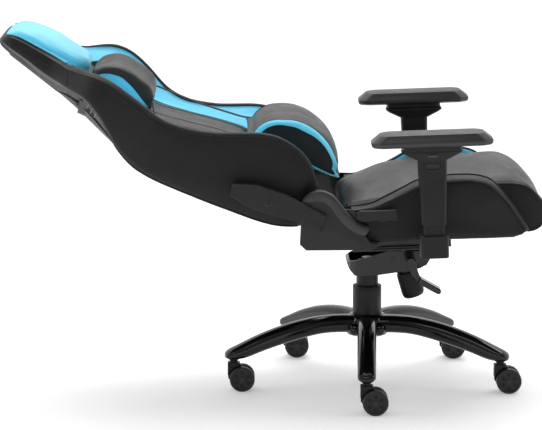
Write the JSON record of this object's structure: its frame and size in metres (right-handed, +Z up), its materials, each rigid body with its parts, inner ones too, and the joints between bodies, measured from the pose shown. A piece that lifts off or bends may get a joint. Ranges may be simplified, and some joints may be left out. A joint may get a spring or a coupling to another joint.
{
  "type": "gaming chair",
  "caption": "Reclining racing-style gaming chair with winged back, neck and lumbar pillows, adjustable armrests and a swivelling star base on casters.",
  "frame": {"origin": "on the floor, under the middle of the whole chair with its back laid down; the swivel column stands 0.2275 m in front of it", "axes": "+X the way the sitter faces, +Y to the sitter's left, +Z up from the floor"},
  "size_m": [1.2916, 0.816, 0.8803],
  "materials": {
    "arm_base_left": "satin",
    "arm_base_right": "satin",
    "arm_bracket_left": "satin",
    "arm_bracket_right": "satin",
    "arm_button_left": "satin",
    "arm_button_right": "satin",
    "arm_carriage_left": "satin",
    "arm_carriage_right": "satin",
    "arm_pad_left": "matte",
    "arm_pad_right": "matte",
    "arm_sleeve_left": "satin",
    "arm_sleeve_right": "satin",
    "arm_slide_plate_left": "satin",
    "arm_slide_plate_right": "satin",
    "back_cushion": "satin grain",
    "back_frame": "satin",
    "caster_hood_1": "satin",
    "caster_hood_2": "satin",
    "caster_hood_3": "satin",
    "caster_hood_4": "satin",
    "caster_hood_5": "satin",
    "caster_wheels_1": "satin",
    "caster_wheels_2": "satin",
    "caster_wheels_3": "satin",
    "caster_wheels_4": "satin",
    "caster_wheels_5": "satin",
    "column_cover_lower": "satin",
    "column_cover_upper": "satin",
    "gas_inner_cylinder": "satin",
    "gas_outer_tube": "satin",
    "gas_piston_rod": "satin",
    "head_pad": "satin grain",
    "height_lever": "gloss",
    "hinge_arm_left": "satin",
    "hinge_arm_right": "satin",
    "hinge_bracket_left": "satin",
    "hinge_bracket_right": "satin",
    "hinge_cover_left": "satin",
    "hinge_cover_right": "satin",
    "lever_shaft": "satin",
    "lumbar_pillow": "satin grain",
    "lumbar_strap_left": "woven",
    "lumbar_strap_right": "woven",
    "neck_pillow": "satin grain",
    "recline_lever": "satin",
    "recline_shaft": "satin",
    "recliner_left": "satin",
    "recliner_right": "satin",
    "seat_bolster_left": "satin grain",
    "seat_bolster_right": "satin grain",
    "seat_cushion": "satin grain",
    "seat_frame": "satin",
    "seat_plate": "satin",
    "star_base": "gloss",
    "tension_bolt": "satin",
    "tension_knob": "satin",
    "tension_spring": "satin",
    "thrust_bearing": "satin",
    "tilt_housing": "gloss",
    "tilt_shaft": "satin"
  },
  "bodies": {
    "base": {"star_base": "star_base", "gas_outer_tube": "gas_outer_tube", "thrust_bearing": "thrust_bearing", "column_cover_lower": "column_cover_lower"},
    "piston": {"gas_piston_rod": "gas_piston_rod"},
    "column": {"gas_inner_cylinder": "gas_inner_cylinder", "column_cover_upper": "column_cover_upper", "tilt_housing": "tilt_housing", "tilt_shaft": "tilt_shaft", "tension_spring": "tension_spring"},
    "tension": {"tension_knob": "tension_knob", "tension_bolt": "tension_bolt"},
    "lever_slide": {"lever_shaft": "lever_shaft"},
    "lever": {"height_lever": "height_lever"},
    "seat": {"seat_plate": "seat_plate", "seat_frame": "seat_frame", "seat_cushion": "seat_cushion", "seat_bolster_right": "seat_bolster_right", "seat_bolster_left": "seat_bolster_left", "hinge_bracket_right": "hinge_bracket_right", "hinge_bracket_left": "hinge_bracket_left", "hinge_cover_right": "hinge_cover_right", "hinge_cover_left": "hinge_cover_left", "recliner_right": "recliner_right", "recliner_left": "recliner_left", "recline_shaft": "recline_shaft", "arm_bracket_right": "arm_bracket_right", "arm_bracket_left": "arm_bracket_left", "arm_base_right": "arm_base_right", "arm_base_left": "arm_base_left"},
    "recline_release": {"recline_lever": "recline_lever"},
    "back": {"back_frame": "back_frame", "back_cushion": "back_cushion", "head_pad": "head_pad", "hinge_arm_right": "hinge_arm_right", "hinge_arm_left": "hinge_arm_left", "lumbar_strap_right": "lumbar_strap_right", "lumbar_strap_left": "lumbar_strap_left"},
    "lumbar": {"lumbar_pillow": "lumbar_pillow"},
    "neck": {"neck_pillow": "neck_pillow"},
    "caster_1": {"caster_hood_1": "caster_hood_1"},
    "wheels_1": {"caster_wheels_1": "caster_wheels_1"},
    "caster_2": {"caster_hood_2": "caster_hood_2"},
    "wheels_2": {"caster_wheels_2": "caster_wheels_2"},
    "caster_3": {"caster_hood_3": "caster_hood_3"},
    "wheels_3": {"caster_wheels_3": "caster_wheels_3"},
    "caster_4": {"caster_hood_4": "caster_hood_4"},
    "wheels_4": {"caster_wheels_4": "caster_wheels_4"},
    "caster_5": {"caster_hood_5": "caster_hood_5"},
    "wheels_5": {"caster_wheels_5": "caster_wheels_5"},
    "sleeve_right": {"arm_sleeve_right": "arm_sleeve_right"},
    "button_right": {"arm_button_right": "arm_button_right"},
    "side_slide_right": {"arm_slide_plate_right": "arm_slide_plate_right"},
    "carriage_right": {"arm_carriage_right": "arm_carriage_right"},
    "pad_right": {"arm_pad_right": "arm_pad_right"},
    "sleeve_left": {"arm_sleeve_left": "arm_sleeve_left"},
    "button_left": {"arm_button_left": "arm_button_left"},
    "side_slide_left": {"arm_slide_plate_left": "arm_slide_plate_left"},
    "carriage_left": {"arm_carriage_left": "arm_carriage_left"},
    "pad_left": {"arm_pad_left": "arm_pad_left"}
  },
  "joints": [
    {"name": "caster_swivel_1", "type": "hinge", "parent": "base", "child": "caster_1", "pos_m": [0.21297, -0.33268, 0.069], "axis": [0, 0, 1], "continuous": true},
    {"name": "wheel_spin_1", "type": "hinge", "parent": "caster_1", "child": "wheels_1", "pos_m": [0.23297, -0.33268, 0.03], "axis": [0, 1, 0], "continuous": true},
    {"name": "caster_swivel_2", "type": "hinge", "parent": "base", "child": "caster_2", "pos_m": [0.53941, -0.11662, 0.069], "axis": [0, 0, 1], "continuous": true},
    {"name": "wheel_spin_2", "type": "hinge", "parent": "caster_2", "child": "wheels_2", "pos_m": [0.55941, -0.11662, 0.03], "axis": [0, 1, 0], "continuous": true},
    {"name": "caster_swivel_3", "type": "hinge", "parent": "base", "child": "caster_3", "pos_m": [0.4348, 0.26061, 0.069], "axis": [0, 0, 1], "continuous": true},
    {"name": "wheel_spin_3", "type": "hinge", "parent": "caster_3", "child": "wheels_3", "pos_m": [0.4548, 0.26061, 0.03], "axis": [0, 1, 0], "continuous": true},
    {"name": "caster_swivel_4", "type": "hinge", "parent": "base", "child": "caster_4", "pos_m": [0.0437, 0.27768, 0.069], "axis": [0, 0, 1], "continuous": true},
    {"name": "wheel_spin_4", "type": "hinge", "parent": "caster_4", "child": "wheels_4", "pos_m": [0.0637, 0.27768, 0.03], "axis": [0, 1, 0], "continuous": true},
    {"name": "caster_swivel_5", "type": "hinge", "parent": "base", "child": "caster_5", "pos_m": [-0.09339, -0.08899, 0.069], "axis": [0, 0, 1], "continuous": true},
    {"name": "wheel_spin_5", "type": "hinge", "parent": "caster_5", "child": "wheels_5", "pos_m": [-0.07339, -0.08899, 0.03], "axis": [0, 1, 0], "continuous": true},
    {"name": "swivel", "type": "hinge", "parent": "base", "child": "piston", "pos_m": [0.2275, 0, 0.1], "axis": [0, 0, 1], "continuous": true},
    {"name": "height", "type": "slide", "parent": "piston", "child": "column", "axis": [0, 0, 1], "range_m": [0, 0.065]},
    {"name": "tension_turn", "type": "hinge", "parent": "column", "child": "tension", "pos_m": [0.3215, 0, 0.272], "axis": [-0.309, 0, 0.9511], "continuous": true},
    {"name": "tilt_lock", "type": "slide", "parent": "column", "child": "lever_slide", "axis": [0, -1, 0], "range_m": [0, 0.01]},
    {"name": "height_release", "type": "hinge", "parent": "lever_slide", "child": "lever", "pos_m": [0.3255, -0.136, 0.318], "axis": [0, -1, 0], "range_deg": [0, 12], "stiffness_Nm_per_rad": 3, "springref_deg": -11.46},
    {"name": "seat_tilt", "type": "hinge", "parent": "column", "child": "seat", "pos_m": [0.2855, 0, 0.312], "axis": [0, -1, 0], "range_deg": [0, 12], "stiffness_Nm_per_rad": 220, "springref_deg": -34.38, "deforming": ["tension_spring"]},
    {"name": "recline", "type": "hinge", "parent": "seat", "child": "back", "pos_m": [0.1025, 0, 0.455], "axis": [0, 1, 0], "range_deg": [0, 66]},
    {"name": "recline_release", "type": "hinge", "parent": "seat", "child": "recline_release", "pos_m": [0.19475, -0.29, 0.45499], "axis": [0, -1, 0], "range_deg": [0, 20], "stiffness_Nm_per_rad": 1.5, "springref_deg": -11.46},
    {"name": "lumbar_shift", "type": "slide", "parent": "back", "child": "lumbar", "axis": [-0.9135, 0, 0.4067], "range_m": [0, 0.065], "deforming": ["lumbar_strap_right", "lumbar_strap_left"]},
    {"name": "neck_shift", "type": "slide", "parent": "back", "child": "neck", "axis": [-0.9135, 0, 0.4067], "range_m": [-0.04, 0.008]},
    {"name": "arm_height_right", "type": "slide", "parent": "seat", "child": "sleeve_right", "axis": [-0.0349, 0, 0.9994], "range_m": [-0.023, 0.056]},
    {"name": "arm_height_button_right", "type": "slide", "parent": "sleeve_right", "child": "button_right", "axis": [0, 1, 0], "range_m": [0, 0.0022], "stiffness_N_per_m": 400, "springref_m": -0.002},
    {"name": "arm_side_right", "type": "slide", "parent": "sleeve_right", "child": "side_slide_right", "axis": [0, -1, 0], "range_m": [-0.01, 0.01]},
    {"name": "arm_fore_aft_right", "type": "slide", "parent": "side_slide_right", "child": "carriage_right", "axis": [0.9994, 0, 0.0349], "range_m": [-0.025, 0.025]},
    {"name": "arm_pad_turn_right", "type": "hinge", "parent": "carriage_right", "child": "pad_right", "pos_m": [0.35639, -0.363, 0.62573], "axis": [-0.0349, 0, 0.9994], "range_deg": [-18, 18]},
    {"name": "arm_height_left", "type": "slide", "parent": "seat", "child": "sleeve_left", "axis": [-0.0349, 0, 0.9994], "range_m": [-0.023, 0.056]},
    {"name": "arm_height_button_left", "type": "slide", "parent": "sleeve_left", "child": "button_left", "axis": [0, -1, 0], "range_m": [0, 0.0022], "stiffness_N_per_m": 400, "springref_m": -0.002},
    {"name": "arm_side_left", "type": "slide", "parent": "sleeve_left", "child": "side_slide_left", "axis": [0, 1, 0], "range_m": [-0.01, 0.01]},
    {"name": "arm_fore_aft_left", "type": "slide", "parent": "side_slide_left", "child": "carriage_left", "axis": [0.9994, 0, 0.0349], "range_m": [-0.025, 0.025]},
    {"name": "arm_pad_turn_left", "type": "hinge", "parent": "carriage_left", "child": "pad_left", "pos_m": [0.35639, 0.363, 0.62573], "axis": [-0.0349, 0, 0.9994], "range_deg": [-18, 18]}
  ],
  "couplings": [
    {"joint": "lumbar_shift", "follows": "recline", "m_per_rad": 0.0555}
  ]
}
